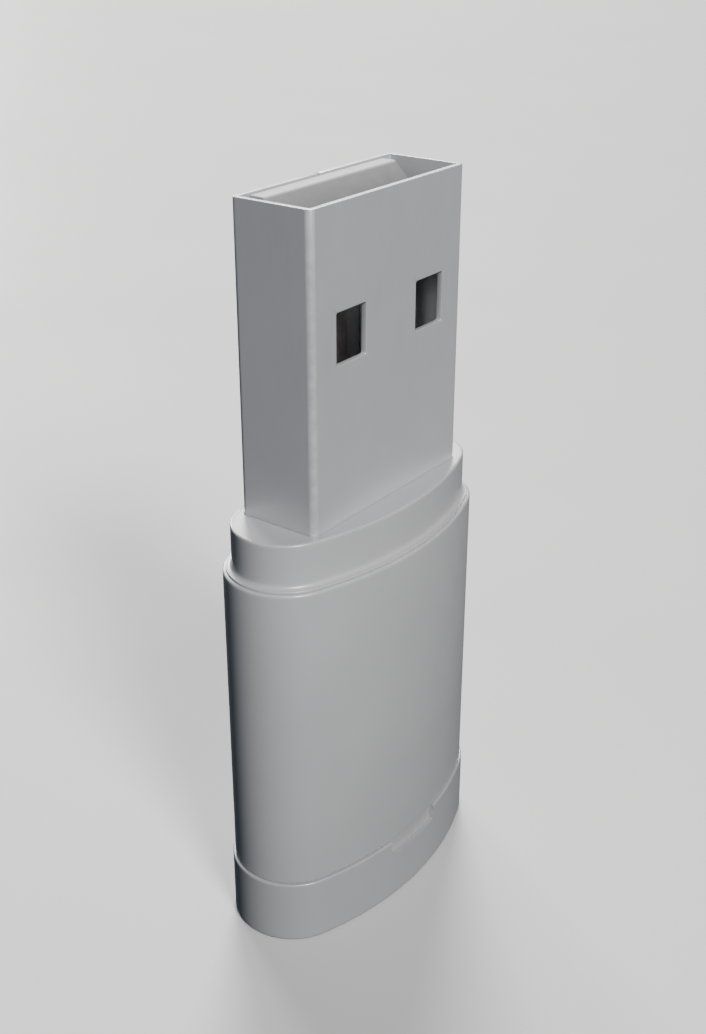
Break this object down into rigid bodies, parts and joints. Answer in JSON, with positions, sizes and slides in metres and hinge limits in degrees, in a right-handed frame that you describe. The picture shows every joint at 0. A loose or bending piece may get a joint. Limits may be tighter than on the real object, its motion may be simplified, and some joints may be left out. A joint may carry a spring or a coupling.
{
  "type": "usb microcontroller programmer",
  "caption": "Oval stick with a USB A plug, a circuit board inside a thin sleeve, and a pull-off end cap over the pins that program a microcontroller.",
  "frame": {"origin": "centre of the flat face of the end cap, on which the programmer stands", "axes": "+Z along the stick to the plug's mouth, X along its wide side, Y through its thin side; the plug's cavity and bare contacts face -Y"},
  "size_m": [0.0172, 0.0086, 0.0385],
  "materials": {
    "sleeve": "satin, light grey",
    "collar": "satin, light grey",
    "cap": "satin, light grey",
    "plug_steel": "satin nickel plating",
    "tongue": "moulded, light grey",
    "contact_tin": "thin tin plating",
    "header_black": "moulded, black",
    "carrier": "moulded, dark grey",
    "board": "green solder mask",
    "chip_black": "epoxy moulding compound",
    "ceramic": "fired ceramic",
    "fuse_green": "polymer body",
    "solder": "tinned, satin"
  },
  "bodies": {
    "end_cap": {"end_cap": "cap"},
    "programmer": {"outer_sleeve": "sleeve", "neck_collar": "collar", "front_carrier": "carrier", "rear_carrier": "carrier", "header_shroud": "collar", "plug_shell": "plug_steel", "plug_tongue": "tongue", "power_contact": "contact_tin", "data_minus_contact": "contact_tin", "data_plus_contact": "contact_tin", "ground_contact": "contact_tin", "header_base": "header_black", "header_pin_1": "contact_tin", "header_pin_2": "contact_tin", "header_pin_3": "contact_tin", "header_pin_4": "contact_tin", "header_pin_5": "contact_tin", "header_pin_6": "contact_tin", "header_solder": "solder", "circuit_board": "board", "microcontroller": "chip_black", "microcontroller_pads": "solder", "crystal_base": "ceramic", "crystal_lid": "solder", "crystal_capacitors": "ceramic", "series_resistors": "chip_black", "voltage_regulator": "chip_black", "regulator_leads": "solder", "line_buffer": "chip_black", "buffer_leads": "solder", "resettable_fuse": "fuse_green", "bulk_capacitor": "ceramic", "decoupling_capacitors": "ceramic"}
  },
  "joints": [
    {"name": "cap_pull", "type": "slide", "parent": "end_cap", "child": "programmer", "axis": [0, 0, 1], "range_m": [0, 0.005]}
  ]
}
